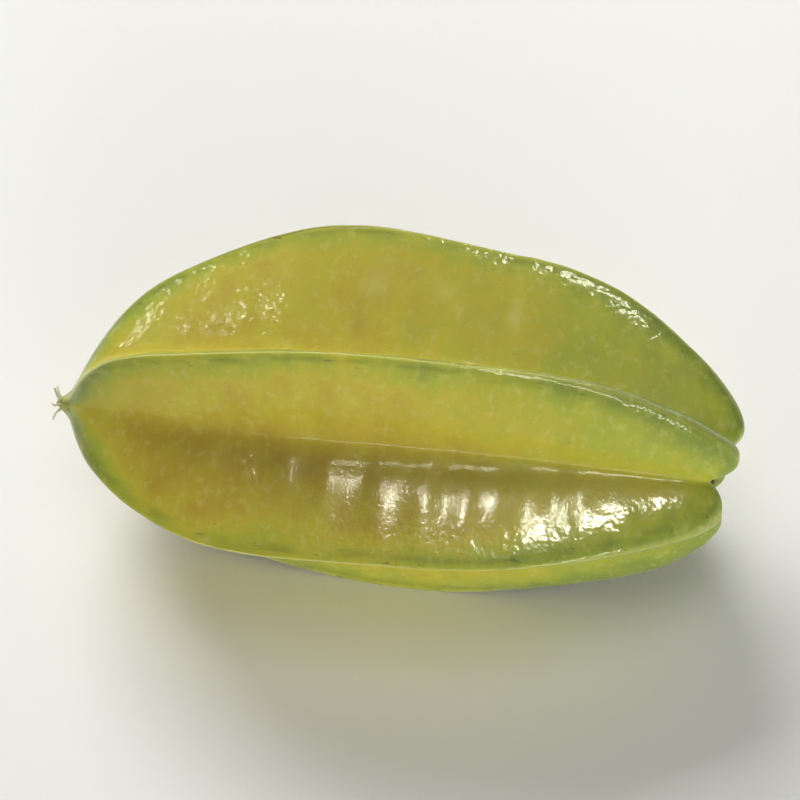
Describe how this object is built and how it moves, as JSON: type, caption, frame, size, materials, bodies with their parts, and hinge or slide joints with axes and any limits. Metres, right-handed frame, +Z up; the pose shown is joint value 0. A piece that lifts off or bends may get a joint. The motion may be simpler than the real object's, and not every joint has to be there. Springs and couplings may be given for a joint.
{
  "type": "star fruit",
  "caption": "Whole ripe star fruit: a long waxy body with deep ribs and grooves, a beaked tip with dry threads and a stalk stub in a hollow. Lies on its side; to show or to eat.",
  "frame": {"origin": "middle of the bottom of the whole fruit's box, on the surface it lies on", "axes": "+X along the fruit from the blossom end to the stalk end, +Y to the far side, +Z up through the top rib"},
  "size_m": [0.1252, 0.0676, 0.0582],
  "materials": {
    "waxy_skin": "waxy gloss",
    "dry_stalk": "dry, matt",
    "dry_style": "dry, matt"
  },
  "bodies": {
    "root": {"fruit_body": "waxy_skin", "stalk_stub": "dry_stalk", "dried_styles": "dry_style"}
  },
  "joints": []
}
